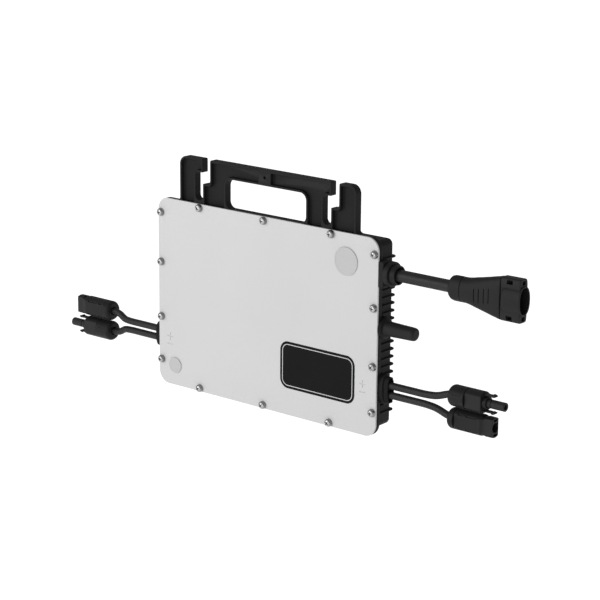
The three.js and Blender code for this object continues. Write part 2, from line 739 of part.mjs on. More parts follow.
// ---- AC plug -------------------------------------------------------------------------
{
  const Z = AC_Z;
  let s = loft("x", [
    { at: 202, points: oval(PORT_Y, Z - 0.3, 7.0, 9.1, 24) },
    { at: 203.4, points: oval(PORT_Y, Z - 0.3, 7.4, 10.3, 24) },
    { at: 206, points: oval(PORT_Y, Z - 0.3, 7.6, 11.1, 24) },
    { at: 214.2, points: oval(PORT_Y, Z - 0.3, 7.6, 11.2, 24) },
  ]);
  s = cut(s, turned([[201, 0], [201, 5.75], [216, 5.75], [216, 0]], PORT_Y, Z, 20));
  piece("ac_plug_nut", s, BLACK_PLASTIC);

  const body = (x, a, b, p, dz = 0) => ({ at: x, points: oval(PORT_Y, Z + dz, a, b, 28, p) });
  s = loft("x", [
    body(214.5, 7.5, 11.0, 2.2, -0.3),
    body(220, 7.4, 11.3, 2.2, -0.3),
    body(228, 7.2, 12.9, 2.5, -0.4),
    body(240, 7.0, 15.4, 3, -0.5),
    body(250, 6.9, 17.6, 3.4, -0.5),
    body(255, 6.7, 18.5, 3.8, -0.4),
  ]);
  // Four grip grooves on each broad face.
  for (const [x, z0, z1] of [
    [229.4, 140.6, 152.6],
    [234.2, 141.0, 153.6],
    [239.3, 141.6, 154.6],
    [244.2, 142.2, 155.6],
  ]) {
    s = cut(s, box(x - 0.5, x + 0.5, PORT_Y - 9, PORT_Y - 6.4, z0, z1));
    s = cut(s, box(x - 0.5, x + 0.5, PORT_Y + 6.4, PORT_Y + 9, z0, z1));
  }
  piece("ac_plug_body", s, BLACK_PLASTIC);

  s = union(
    loft("x", [body(255.3, 5.7, 18.7, 7, -0.1), body(273.8, 5.7, 18.8, 7), body(274.8, 5.2, 18.3, 7)]),
    loft("x", [body(257, 7.6, 12.3, 2.3), body(259, 8.4, 12.8, 2.3), body(275.9, 8.4, 12.8, 2.3)]),
  );
  s = cut(s, loft("x", [body(259.5, 6.7, 11.2, 2.3), body(278, 6.7, 11.2, 2.3)]));
  for (const up of [1, -1]) {
    const z0 = up > 0 ? Z + 13.5 : Z - 17.1;
    s = cut(s, box(261.2, 278, PORT_Y - 2.4, PORT_Y + 2.4, z0, z0 + 3.6));
    s = cut(s, box(261.2, 267.2, PORT_Y - 9, PORT_Y + 9, z0, z0 + 3.6));
  }
  piece("ac_plug_shell", s, BLACK_PLASTIC);

  s = loft("x", [body(259.8, 6.3, 10.8, 2.3), body(268.4, 6.3, 10.8, 2.3)]);
  const contacts = [
    [PORT_Y, Z + 6.2],
    [PORT_Y, Z],
    [PORT_Y, Z - 6.2],
  ];
  for (const [y, z] of contacts)
    s = cut(s, turned([[260.6, 0], [260.6, 2.2], [270, 2.2], [270, 0]], y, z, 14));
  piece("ac_plug_insert", s, 0x3a3a3b, 0.6);
  contacts.forEach(([y, z], i) =>
    piece(
      `ac_plug_contact_${i + 1}`,
      turned([[260.9, 0], [260.9, 1.8], [267.6, 1.8], [267.6, 1.2], [262.5, 1.2], [262.5, 0]], y, z, 12),
      TIN,
      0.3,
      0.9,
    ),
  );
}

// ---- antenna ---------------------------------------------------------------------------
{
  const s = cut(
    turned(
      [
        [122, 0], [122, 3.7], [134.3, 3.7], [134.3, 7.2], [135.4, 6.85], [137.6, 6.65], [150, 6.3],
        [162.4, 6.0], [164.1, 5.5], [165.1, 4.4], [165.4, 3.2], [165.4, 0],
      ],
      PORT_Y + 0.6,
      ANT_Z,
      24,
    ),
    turned([[121, 0], [121, 2.4], [161, 2.4], [161, 0]], PORT_Y + 0.6, ANT_Z, 14),
  );
  piece("antenna_radome", s, BLACK_PLASTIC, 0.5);
  piece(
    "antenna_element",
    turned([[123, 0], [123, 1.2], [158, 1.2], [158, 0]], PORT_Y + 0.6, ANT_Z, 10),
    0xb0763a,
    0.35,
    0.9,
  );
}

// ---- inside ------------------------------------------------------------------------------
{
  const board = prism("y", roundRect(-115, 16, 115, 164, 4, 2), 5.6, 7.2);
  piece("main_circuit_board", board, 0x1f5a3a, 0.5);
  const block = (name, x, z, w, h, y0, y1, r, color, rough, metal) =>
    piece(
      name,
      prism("y", roundRect(x - w / 2, z - h / 2, x + w / 2, z + h / 2, r, 2), y0, y1),
      color,
      rough,
      metal,
    );
  block("transformer_left", -55, 104, 36, 33, 7.5, 23.5, 3, 0x26262a, 0.6, 0);
  block("transformer_right", 10, 104, 36, 33, 7.5, 23.5, 3, 0x26262a, 0.6, 0);
  block("filter_choke", 66, 132, 27, 27, 7.5, 22, 6, 0x8a5a2b, 0.5, 0.3);
  block("grid_relay", 72, 62, 29, 13, 7.5, 22.8, 1, 0x20242c, 0.5, 0);
  block("wireless_module", 100, 99, 18, 24, 7.5, 10.8, 1, 0xbfc2c4, 0.4, 0.7);
  // Two electrolytic capacitors, lying along X.
  piece("bus_capacitor_1", turned([[-40, 0], [-40, 8], [-6, 8], [-6, 0]], 16, 62, 16), 0x23262c, 0.4);
  piece("bus_capacitor_2", turned([[0, 0], [0, 8], [34, 8], [34, 0]], 16, 62, 16), 0x23262c, 0.4);
}

export default part;
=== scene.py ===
import json
from math import acos, ceil, cos, degrees, pi, sin, sqrt

import bmesh
import bpy
from mathutils import Matrix, Vector

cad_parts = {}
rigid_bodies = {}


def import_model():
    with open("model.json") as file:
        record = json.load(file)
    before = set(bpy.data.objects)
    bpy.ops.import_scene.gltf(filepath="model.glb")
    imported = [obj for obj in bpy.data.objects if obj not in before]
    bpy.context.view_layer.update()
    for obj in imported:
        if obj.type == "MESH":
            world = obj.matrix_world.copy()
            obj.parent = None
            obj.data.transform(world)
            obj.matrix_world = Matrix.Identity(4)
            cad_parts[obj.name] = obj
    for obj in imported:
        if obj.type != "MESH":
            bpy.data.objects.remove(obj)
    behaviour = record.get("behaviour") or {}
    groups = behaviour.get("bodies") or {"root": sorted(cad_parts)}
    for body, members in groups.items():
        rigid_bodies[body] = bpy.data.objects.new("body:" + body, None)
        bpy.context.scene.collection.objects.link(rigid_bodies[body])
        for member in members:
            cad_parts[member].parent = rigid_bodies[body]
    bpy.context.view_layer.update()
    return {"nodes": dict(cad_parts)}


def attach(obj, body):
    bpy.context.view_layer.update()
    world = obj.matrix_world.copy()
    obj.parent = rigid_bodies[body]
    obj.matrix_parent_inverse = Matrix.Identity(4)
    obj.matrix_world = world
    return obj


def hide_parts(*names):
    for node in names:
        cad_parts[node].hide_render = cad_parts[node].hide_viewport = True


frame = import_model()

scene = bpy.context.scene

# The unit is drawn in millimetres from the foot of its cover: x from the middle of
# the cover, y from its front face, z from its bottom edge. The row's own origin is
# on the back face of the bracket.
ORIGIN = Vector((0.0, 9.6, 218.8))
TO_ROW = Matrix.Scale(0.001, 4) @ Matrix.Translation(-ORIGIN)


def row(p):
    return tuple((p[i] - ORIGIN[i]) / 1000 for i in range(3))


# ---- camera ------------------------------------------------------------------
AZ, EL, ROLL = 39.9063 * pi / 180, 14.9117 * pi / 180, 0.50335 * pi / 180
back = Vector((sin(AZ) * cos(EL), -cos(AZ) * cos(EL), sin(EL)))
right = Vector((cos(AZ), sin(AZ), 0))
up = back.cross(right)
right, up = cos(ROLL) * right + sin(ROLL) * up, cos(ROLL) * up - sin(ROLL) * right
eye = Vector((43.128, 0, 110.531)) + back * 1891.087
lens = bpy.data.cameras.new("view_camera")
lens.sensor_width = 36
lens.lens = 2122.71 / 600 * 36
lens.clip_start, lens.clip_end = 0.05, 60
camera = bpy.data.objects.new("view_camera", lens)
scene.collection.objects.link(camera)
camera.matrix_world = Matrix.Translation(row(eye)) @ Matrix((right, up, back)).transposed().to_4x4()
scene.camera = camera

# ---- outlines: lists of (u, v) ---------------------------------------------------


def arc(cu, cv, r, a0, a1, n):
    return [
        (cu + r * cos((a0 + (a1 - a0) * i / n) * pi / 180), cv + r * sin((a0 + (a1 - a0) * i / n) * pi / 180))
        for i in range(n + 1)
    ]


def round_rect(u0, v0, u1, v1, r, n=10):
    return (
        arc(u1 - r, v0 + r, r, -90, 0, n)
        + arc(u1 - r, v1 - r, r, 0, 90, n)
        + arc(u0 + r, v1 - r, r, 90, 180, n)
        + arc(u0 + r, v0 + r, r, 180, 270, n)
    )


def oval(cu, cv, a, b, n=64, power=2.0):
    out = []
    for i in range(n):
        t = 2 * pi * (i + 0.5) / n
        c, s = cos(t), sin(t)
        out.append(
            (
                cu + a * (1 if c > 0 else -1) * abs(c) ** (2 / power),
                cv + b * (1 if s > 0 else -1) * abs(s) ** (2 / power),
            )
        )
    return out


def flatted(cu, cv, r, a, n=20):
    e = degrees(acos(a / r))
    return arc(cu, cv, r, e, 180 - e, n) + arc(cu, cv, r, 180 + e, 360 - e, n)


def tidy(pts):
    out = []
    for p in pts:
        if not out or (p[0] - out[-1][0]) ** 2 + (p[1] - out[-1][1]) ** 2 > 1e-8:
            out.append(p)
    if (out[0][0] - out[-1][0]) ** 2 + (out[0][1] - out[-1][1]) ** 2 < 1e-8:
        out.pop()
    return out


def inset(pts, d):
    """A closed outline moved inwards by d."""
    n = len(pts)
    area = sum(pts[i - 1][0] * pts[i][1] - pts[i][0] * pts[i - 1][1] for i in range(n))
    s = 1 if area > 0 else -1
    out = []
    for i in range(n):
        a, b, c = Vector(pts[i - 1]), Vector(pts[i]), Vector(pts[(i + 1) % n])
        e, f = (b - a).normalized(), (c - b).normalized()
        n1, n2 = Vector((-e.y, e.x)) * s, Vector((-f.y, f.x)) * s
        k = b + (n1 + n2) * (d / max(0.35, 1 + n1.dot(n2)))
        out.append((k.x, k.y))
    return out


def soft(pts, d, n=4, closed=False):
    """Round the corners of a line of points. d is one size or one for each point."""
    ds = d if hasattr(d, "__len__") else [d] * len(pts)
    out = []
    m = len(pts)
    for i, p in enumerate(pts):
        if (not closed and i in (0, m - 1)) or ds[i] <= 0:
            out.append(tuple(p))
            continue
        a, b, c = Vector(pts[i - 1]), Vector(p), Vector(pts[(i + 1) % m])
        la, lc = (a - b).length, (c - b).length
        if la < 1e-6 or lc < 1e-6:
            out.append(tuple(p))
            continue
        p0 = b + (a - b) * (min(ds[i], 0.48 * la) / la)
        p1 = b + (c - b) * (min(ds[i], 0.48 * lc) / lc)
        for k in range(n + 1):
            t = k / n
            q = p0 * (1 - t) ** 2 + b * 2 * t * (1 - t) + p1 * t * t
            out.append((q.x, q.y))
    return out


# ---- meshes, in millimetres --------------------------------------------------------


def make(name, verts, faces):
    me = bpy.data.meshes.new(name)
    bm = bmesh.new()
    vs = [bm.verts.new(v) for v in verts]
    for f in faces:
        try:
            bm.faces.new([vs[i] for i in f])
        except ValueError:
            pass
    bmesh.ops.remove_doubles(bm, verts=bm.verts, dist=2e-4)
    bmesh.ops.recalc_face_normals(bm, faces=bm.faces)
    bm.to_mesh(me)
    bm.free()
    ob = bpy.data.objects.new(name, me)
    scene.collection.objects.link(ob)
    return ob


def tube(rings, closed=False):
    n = len(rings[0])
    m = len(rings)
    verts = [p for r in rings for p in r]
    faces = []
    for k in range(m if closed else m - 1):
        q = (k + 1) % m
        for i in range(n):
            j = (i + 1) % n
            faces.append((k * n + i, k * n + j, q * n + j, q * n + i))
    if not closed:
        faces.append(tuple(range(n))[::-1])
        faces.append(tuple((m - 1) * n + i for i in range(n)))
    return make("part", verts, faces)


def place(axis, uv, w):
    u, v = uv
    return (w, u, v) if axis == "x" else (u, w, v) if axis == "y" else (u, v, w)


def loft(axis, sections):
    return tube([[place(axis, p, w) for p in pts] for w, pts in sections])


def prism(axis, pts, a, b, ea=0.0, eb=0.0, n=3):
    """An outline pushed from a to b, its end edges rounded by ea and eb."""
    pts = tidy(pts)
    s = []
    if ea > 0:
        for k in range(n + 1):
            t = k / n * pi / 2
            s.append((a + ea * (1 - cos(t)), inset(pts, ea * (1 - sin(t)))))
    else:
        s.append((a, pts))
    if eb > 0:
        for k in range(n, -1, -1):
            t = k / n * pi / 2
            s.append((b - eb * (1 - cos(t)), inset(pts, eb * (1 - sin(t)))))
    else:
        s.append((b, pts))
    return loft(axis, s)


def box(x0, x1, y0, y1, z0, z1):
    return prism("x", [(y0, z0), (y1, z0), (y1, z1), (y0, z1)], x0, x1)


def turned(profile, cy, cz, n=64, axis="x"):
    """A turned piece. The profile is (w, r) pairs, from axis to axis or closed."""
    closed = (Vector(profile[0]) - Vector(profile[-1])).length < 1e-6
    if closed:
        profile = profile[:-1]
    rings = [
        [
            place(axis, (cy + r * cos(2 * pi * i / n), cz + r * sin(2 * pi * i / n)), w)
            for i in range(n)
        ]
        for w, r in profile
    ]
    return tube(rings, closed)


def merge(*obs):
    """Several separate closed meshes as one object."""
    bm = bmesh.new()
    for o in obs:
        bm.from_mesh(o.data)
    bm.to_mesh(obs[0].data)
    bm.free()
    for o in obs[1:]:
        bpy.data.objects.remove(o)
    return obs[0]


def applied(ob):
    dg = bpy.context.evaluated_depsgraph_get()
    me = bpy.data.meshes.new_from_object(ob.evaluated_get(dg))
    ob.modifiers.clear()
    old, ob.data = ob.data, me
    bpy.data.meshes.remove(old)
    return ob


def boolean(a, b, op):
    kept = a.data.copy()
    for solver in ("MANIFOLD", "EXACT"):
        m = a.modifiers.new("join", "BOOLEAN")
        m.operation, m.object, m.solver = op, b, solver
        applied(a)
        if len(a.data.polygons) > 3:
            break
        a.data = kept.copy()
    bpy.data.objects.remove(b)
    return a


def cut(a, *bs):
    return boolean(a, merge(*bs) if len(bs) > 1 else bs[0], "DIFFERENCE")


def cut_each(a, *bs):
    for b in bs:
        boolean(a, b, "DIFFERENCE")
    return a


def union(a, *bs):
    for b in bs:
        boolean(a, b, "UNION")
    return a


def bevelled(ob, width, segments=2, angle=32):
    bm = bmesh.new()
    bm.from_mesh(ob.data)
    bmesh.ops.remove_doubles(bm, verts=bm.verts, dist=1e-3)
    bmesh.ops.dissolve_limit(
        bm, angle_limit=0.6 * pi / 180, verts=bm.verts, edges=bm.edges, delimit=set()
    )
    bm.to_mesh(ob.data)
    bm.free()
    m = ob.modifiers.new("edge", "BEVEL")
    m.width, m.segments, m.limit_method = width, segments, "ANGLE"
    m.angle_limit = angle * pi / 180
    m.use_clamp_overlap = True
    m.miter_outer = "MITER_ARC"
    return applied(ob)


def shaded(ob, angle=38):
    me = ob.data
    for p in me.polygons:
        p.use_smooth = True
    me.set_sharp_from_angle(angle=angle * pi / 180)
    m = ob.modifiers.new("shading", "WEIGHTED_NORMAL")
    m.mode, m.keep_sharp, m.weight = "FACE_AREA", True, 60
    return ob


pieces = {}


def piece(name, ob, mat, nodes=(), body="inverter", angle=38):
    ob.name = name
    ob.data.name = name
    ob.data.transform(TO_ROW)
    shaded(ob, angle)
    ob.data.materials.clear()
    ob.data.materials.append(mat)
    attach(ob, body)
    if nodes:
        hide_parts(*nodes)
    pieces[name] = ob
    return ob


# ---- materials ---------------------------------------------------------------------------


def material(
    name,
    tones,
    rough=(0.5, 0.6),
    grain=900.0,
    bump=0.06,
    depth=0.0001,
    blotch=18.0,
    metallic=0.0,
    specular=0.5,
    coat=0.0,
    stretch=(1, 1, 1),
    edge=None,
    brushed=None,
    side=None,
):
    """A surface in the row's own coordinates: slow blotches of tone, a fine grain that
    carries the gloss and the bump, and a painted highlight that makes edges a little lighter."""
    m = bpy.data.materials.new(name)
    m.use_nodes = True
    nt = m.node_tree
    nd, ln = nt.nodes, nt.links
    nd.clear()
    out = nd.new("ShaderNodeOutputMaterial")
    sh = nd.new("ShaderNodeBsdfPrincipled")
    ln.new(sh.outputs[0], out.inputs[0])
    sh.inputs["Metallic"].default_value = metallic
    sh.inputs["Specular IOR Level"].default_value = specular
    if coat:
        sh.inputs["Coat Weight"].default_value = coat
        sh.inputs["Coat Roughness"].default_value = 0.35
    tc = nd.new("ShaderNodeTexCoord")
    mp = nd.new("ShaderNodeMapping")
    mp.inputs["Scale"].default_value = stretch
    ln.new(tc.outputs["Object"], mp.inputs[0])

    def noise(scale, detail, rough_=0.55):
        t = nd.new("ShaderNodeTexNoise")
        t.inputs["Scale"].default_value = scale
        t.inputs["Detail"].default_value = detail
        t.inputs["Roughness"].default_value = rough_
        ln.new(mp.outputs[0], t.inputs["Vector"])
        return t

    slow, fine = noise(blotch, 4), noise(grain, 3)
    ramp = nd.new("ShaderNodeValToRGB")
    ramp.color_ramp.elements[0].position = 0.32
    ramp.color_ramp.elements[1].position = 0.68
    ramp.color_ramp.elements[0].color = (*tones[0], 1)
    ramp.color_ramp.elements[1].color = (*tones[1], 1)
    mix = nd.new("ShaderNodeMix")
    mix.data_type = "FLOAT"
    mix.inputs[0].default_value = 0.4
    ln.new(slow.outputs[0], mix.inputs[2])
    ln.new(fine.outputs[0], mix.inputs[3])
    ln.new(mix.outputs[0], ramp.inputs[0])
    colour = ramp.outputs[0]
    # Painted highlight: convex edges, found by pointiness, get the lighter edge colour.
    if edge:
        geo = nd.new("ShaderNodeNewGeometry")
        edge_highlight_ramp = nd.new("ShaderNodeValToRGB")
        edge_highlight_ramp.color_ramp.elements[0].position = 0.52
        edge_highlight_ramp.color_ramp.elements[1].position = 0.62
        edge_highlight_ramp.color_ramp.elements[0].color = (0, 0, 0, 1)
        edge_highlight_ramp.color_ramp.elements[1].color = (1, 1, 1, 1)
        ln.new(geo.outputs["Pointiness"], edge_highlight_ramp.inputs[0])
        edge_highlight_mix = nd.new("ShaderNodeMix")
        edge_highlight_mix.data_type = "RGBA"
        ln.new(edge_highlight_ramp.outputs[0], edge_highlight_mix.inputs[0])
        ln.new(colour, edge_highlight_mix.inputs[6])
        edge_highlight_mix.inputs[7].default_value = (*edge, 1)
        colour = edge_highlight_mix.outputs[2]
    if side:
        # painted shade: the head's sides below the crown are coloured darker, by depth from the front
        tone, y0, y1 = side
        sx = nd.new("ShaderNodeSeparateXYZ")
        ln.new(tc.outputs["Object"], sx.inputs[0])
        side_shade_range = nd.new("ShaderNodeMapRange")
        side_shade_range.inputs["From Min"].default_value = y0
        side_shade_range.inputs["From Max"].default_value = y1
        ln.new(sx.outputs[1], side_shade_range.inputs[0])
        side_shade_mix = nd.new("ShaderNodeMix")
        side_shade_mix.data_type = "RGBA"
        ln.new(side_shade_range.outputs[0], side_shade_mix.inputs[0])
        ln.new(colour, side_shade_mix.inputs[6])
        side_shade_mix.inputs[7].default_value = (*tone, 1)
        colour = side_shade_mix.outputs[2]
    ln.new(colour, sh.inputs["Base Color"])
    rr = nd.new("ShaderNodeMapRange")
    rr.inputs["From Min"].default_value = 0.3
    rr.inputs["From Max"].default_value = 0.7
    rr.inputs["To Min"].default_value = rough[0]
    rr.inputs["To Max"].default_value = rough[1]
    ln.new(fine.outputs[0], rr.inputs[0])
    ln.new(rr.outputs[0], sh.inputs["Roughness"])
    height = fine.outputs[0]
    if brushed:
        w = nd.new("ShaderNodeTexWave")
        w.wave_type, w.rings_direction = "RINGS", "SPHERICAL"
        w.inputs["Scale"].default_value = brushed
        w.inputs["Distortion"].default_value = 2.0
        ln.new(mp.outputs[0], w.inputs["Vector"])
        hm = nd.new("ShaderNodeMix")
        hm.data_type = "FLOAT"
        hm.inputs[0].default_value = 0.5
        ln.new(fine.outputs[0], hm.inputs[2])
        ln.new(w.outputs["Fac"], hm.inputs[3])
        height = hm.outputs[0]
    bp = nd.new("ShaderNodeBump")
    bp.inputs["Strength"].default_value = bump
    bp.inputs["Distance"].default_value = depth
    ln.new(height, bp.inputs["Height"])
    ln.new(bp.outputs[0], sh.inputs["Normal"])
    return m


def grey(v, tint=(1.0, 1.0, 1.0)):
    return tuple(v * t for t in tint)


COVER = material(
    "cover_powder_coat",
    (grey(0.482), grey(0.508)),
    rough=(0.42, 0.52), grain=1400, bump=0.05, depth=0.00012, blotch=9, specular=0.35,
)
PAD = material(
    "cover_pad_coat",
    (grey(0.395), grey(0.420)),
    rough=(0.42, 0.52), grain=1400, bump=0.05, depth=0.00012, blotch=9, specular=0.35,
)
# The edge colour of the black casting and of the moulded plastic is a painted highlight on their edges.
CAST = material(
    "black_casting",
    (grey(0.0068), grey(0.0108)),
    rough=(0.50, 0.66), grain=1100, bump=0.22, depth=0.00022, blotch=22, specular=0.11,
    edge=grey(0.017),
)
PLASTIC = material(
    "moulded_plastic",
    (grey(0.0084), grey(0.0124)),
    rough=(0.46, 0.58), grain=2100, bump=0.14, depth=0.00012, blotch=35, specular=0.14,
    edge=grey(0.019),
)
RADOME = material(
    "antenna_plastic",
    (grey(0.0118), grey(0.0162)),
    rough=(0.50, 0.62), grain=1700, bump=0.16, depth=0.00014, blotch=30, specular=0.13,
)
JACKET = material(
    "cable_jacket",
    (grey(0.0110), grey(0.0160)),
    rough=(0.40, 0.55), grain=700, bump=0.18, depth=0.00015, blotch=40, specular=0.22,
    stretch=(0.35, 1, 1),
)
RUBBER = material(
    "grommet_rubber",
    (grey(0.0060), grey(0.0095)),
    rough=(0.66, 0.80), grain=1500, bump=0.2, depth=0.00015, blotch=30, specular=0.12,
)
# The side tone of the screws is painted shade on the sides of each head.
STEEL = material(
    "zinc_plated_steel",
    (grey(0.34, (1, 1, 1.01)), grey(0.47, (1, 1, 1.01))),
    rough=(0.28, 0.42), grain=1600, bump=0.10, depth=0.00008, blotch=200, metallic=1.0,
    specular=0.5, side=(grey(0.26), -0.0131, -0.0124),
)
TIN = material(
    "tinned_contact",
    (grey(0.55, (1, 1, 0.97)), grey(0.72, (1, 1, 0.97))),
    rough=(0.22, 0.36), grain=2200, bump=0.08, depth=0.00006, blotch=160, metallic=1.0,
)
COPPER = material(
    "copper_rod",
    ((0.55, 0.23, 0.11), (0.70, 0.32, 0.17)),
    rough=(0.28, 0.42), grain=1500, bump=0.1, depth=0.00006, blotch=120, metallic=1.0,
)
INSERT = material(
    "contact_insert",
    (grey(0.030), grey(0.042)),
    rough=(0.5, 0.62), grain=1900, bump=0.15, depth=0.0001, blotch=60, specular=0.36,
)
GASKET = material(
    "gasket_silicone",
    (grey(0.030), grey(0.045)),
    rough=(0.62, 0.78), grain=1300, bump=0.15, depth=0.0001, blotch=50, specular=0.3,
)
BOARD = material(
    "circuit_board",
    ((0.010, 0.085, 0.035), (0.018, 0.13, 0.055)),
    rough=(0.32, 0.5), grain=420, bump=0.25, depth=0.0001, blotch=90, specular=0.5,
)
DARK = material(
    "wound_component",
    (grey(0.02), (0.04, 0.036, 0.033)),
    rough=(0.5, 0.7), grain=520, bump=0.3, depth=0.0002, blotch=60, specular=0.4,
)
CAN = material(
    "shield_can",
    (grey(0.50), grey(0.62)),
    rough=(0.26, 0.4), grain=900, bump=0.1, depth=0.0001, blotch=60, metallic=1.0,
)
LABEL = material(
    "dark_label",
    (grey(0.0026), grey(0.0044)),
    rough=(0.52, 0.62), grain=1700, bump=0.06, depth=0.00006, blotch=30, specular=0.08,
)
LINE = material(
    "label_keyline",
    (grey(0.46), grey(0.52)),
    rough=(0.5, 0.6), grain=1700, bump=0.06, depth=0.00006, blotch=30, specular=0.3,
)

# ---- leads -------------------------------------------------------------------------------
PORT_Y, AC_Z, DC_Z = 9.5, 148.6, 44.0
DC_UP, DC_LOW, CONN_UP, CONN_LOW = 48.3, 39.6, 54.2, 34.05
RIGHT_REAR, LEFT_REAR = 205.8, 200.6
# How a DC lead crosses to its connector: distance before it, share of the way over.
BEND = {
    -1: ((23, 0.01), (15.6, 0.14), (12.2, 0.43), (9.2, 0.73), (4.6, 0.96)),
    1: ((27.5, 0.02), (18, 0.18), (12.4, 0.42), (6.8, 0.76), (2.2, 0.96)),
}


def through(points, per=10):
    """A centripetal Catmull-Rom line through the points."""
    p = [Vector(q) for q in points]
    p = [2 * p[0] - p[1]] + p + [2 * p[-1] - p[-2]]
    out = []
    for i in range(1, len(p) - 2):
        a, b, c, d = p[i - 1 : i + 3]
        t0 = 0
        t1 = t0 + sqrt((b - a).length)
        t2 = t1 + sqrt((c - b).length)
        t3 = t2 + sqrt((d - c).length)
        for k in range(per):
            t = t1 + (t2 - t1) * k / per
            q1 = a * ((t1 - t) / (t1 - t0)) + b * ((t - t0) / (t1 - t0))
            q2 = b * ((t2 - t) / (t2 - t1)) + c * ((t - t1) / (t2 - t1))
            q3 = c * ((t3 - t) / (t3 - t2)) + d * ((t - t2) / (t3 - t2))
            r1 = q1 * ((t2 - t) / (t2 - t0)) + q2 * ((t - t0) / (t2 - t0))
            r2 = q2 * ((t3 - t) / (t3 - t1)) + q3 * ((t - t1) / (t3 - t1))
            out.append(r1 * ((t2 - t) / (t2 - t1)) + r2 * ((t - t1) / (t2 - t1)))
    return out + [p[-2]]


def lead(name, points, radius, node):
    pts = [row(q) for q in through(points)]
    cu = bpy.data.curves.new(name, "CURVE")
    cu.dimensions = "3D"
    sp = cu.splines.new("POLY")
    sp.points.add(len(pts) - 1)
    for s, q in zip(sp.points, pts):
        s.co = (*q, 1)
    sp.use_smooth = True
    cu.bevel_depth = radius / 1000
    cu.bevel_resolution = 8
    cu.use_fill_caps = True
    cu.materials.append(JACKET)
    ob = bpy.data.objects.new(name, cu)
    scene.collection.objects.link(ob)
    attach(ob, "inverter")
    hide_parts(node)
    length = sum((Vector(pts[i]) - Vector(pts[i + 1])).length for i in range(len(pts) - 1))
    return ob, length


ac_lead, ac_length = lead(
    "ac_lead", [(138, PORT_Y, AC_Z), (163, PORT_Y, AC_Z), (188, PORT_Y, AC_Z), (213.9, PORT_Y, AC_Z)], 5.4, "ac_cable"
)
dc_leads = {}
for side, s_name in ((-1, "left"), (1, "right")):
    for u_name, z0, z1 in (("upper", DC_UP, CONN_UP), ("lower", DC_LOW, CONN_LOW)):
        plug_here = (side > 0) == (u_name == "upper")
        rear = RIGHT_REAR if side > 0 else LEFT_REAR
        end = rear + (16.7 if plug_here else 13.7)
        pts = [(side * x, PORT_Y, z0) for x in (126, 145, 162)]
        pts += [(side * (rear - d), PORT_Y, z0 + (z1 - z0) * k) for d, k in BEND[side]]
        pts += [(side * (rear + 2.8), PORT_Y, z1), (side * end, PORT_Y, z1)]
        dc_leads[s_name, u_name] = lead(
            f"dc_lead_{s_name}_{u_name}", pts, 3.25, f"dc_cable_{s_name}_{u_name}"
        )

# ---- screw places -------------------------------------------------------------------------
screws = []
for side in (-1, 1):
    for z in (165.7, 118.0, 65.0, 22.96):
        screws.append((side * 126.7, z))
for x in (-78.15, 0.0, 78.15):
    screws.append((x, 176.5))
    screws.append((x, 3.5))

# ---- front cover ---------------------------------------------------------------------------
cover = prism("y", round_rect(-130.5, 0, 130.5, 180, 12, 16), 0, 1.7, 0.45, 0.15)
cover = cut(cover, *[prism("y", oval(x, z, 1.8, 1.8, 24), -1, 3) for x, z in screws])


# Shallow polarity signs moulded into the cover beside each pair of leads.
signs = []
for x, w in ((-116.0, 3.6), (115.6, 3.4)):
    signs.append(
        prism(
            "y",
            [
                (x - w, 47.2 - 0.55), (x - 0.55, 47.2 - 0.55), (x - 0.55, 47.2 - w), (x + 0.55, 47.2 - w),
                (x + 0.55, 47.2 - 0.55), (x + w, 47.2 - 0.55), (x + w, 47.2 + 0.55), (x + 0.55, 47.2 + 0.55),
                (x + 0.55, 47.2 + w), (x - 0.55, 47.2 + w), (x - 0.55, 47.2 + 0.55), (x - w, 47.2 + 0.55),
            ],
            -0.5,
            0.35,
        )
    )
    signs.append(prism("y", round_rect(x - w, 39.8 - 0.55, x + w, 39.8 + 0.55, 0.4, 4), -0.5, 0.35))
cover = cut(cover, *signs)
piece("cover_plate", cover, COVER, ["front_cover"])


def pad(name, x, z, r):
    """A low round pad on the cover, with a rounded edge and a slight dish on top."""
    prof = soft([(0.4, 0), (0.4, r), (-0.9, r), (-0.9, r - 1.2), (-0.72, r - 1.8), (-0.72, 0)], [0, 0, 0.45, 0.3, 0.3, 0], 4)
    d = turned(prof, x, z, 120, "y")
    piece(name, d, PAD, angle=30)


pad("cover_pad_large", 95.2, 154.6, 12.85)
pad("cover_pad_small", -109.7, 19.6, 7.7)

# A plain dark label with a fine line inside its edge.
BX0, BX1, BZ0, BZ1 = 20.5, 106.5, 25.5, 69.5
label = prism("y", round_rect(BX0, BZ0, BX1, BZ1, 9, 12), -0.12, 0.05, 0.04, 0)
piece("cover_label", label, LABEL)
ring = []
for d in (2.4, 3.1):
    ring.append(round_rect(BX0 + d, BZ0 + d, BX1 - d, BZ1 - d, 9 - d, 12))
key = prism("y", ring[0], -0.15, 0.0)
key = cut(key, prism("y", ring[1], -1, 1))
piece("cover_label_line", key, LINE)

# ---- housing ---------------------------------------------------------------------------------
BODY_X, BODY_Z0, BODY_Z1, BODY_BACK = 124.4, 4.9, 174.9, 29.3
FIN_X, FIN_BACK = 125.8, 33.6


def body_ring(d):
    return round_rect(
        -BODY_X + d, BODY_Z0 + d, BODY_X - d, BODY_Z1 - d, max(5.5 - d, 1.6), 12
    )


housing = prism("y", round_rect(-130.5, 0, 130.5, 180, 12, 16), 2.2, 6.5, 0.35, 0.8)
sections = [(4.0, body_ring(0)), (6.5, body_ring(0)), (27.2, body_ring(0.35))]
for k in range(9):
    t = k / 8 * pi / 2
    sections.append((27.5 + 1.8 * sin(t), body_ring(0.4 + 1.8 * (1 - cos(t)))))
housing = union(housing, loft("y", sections))


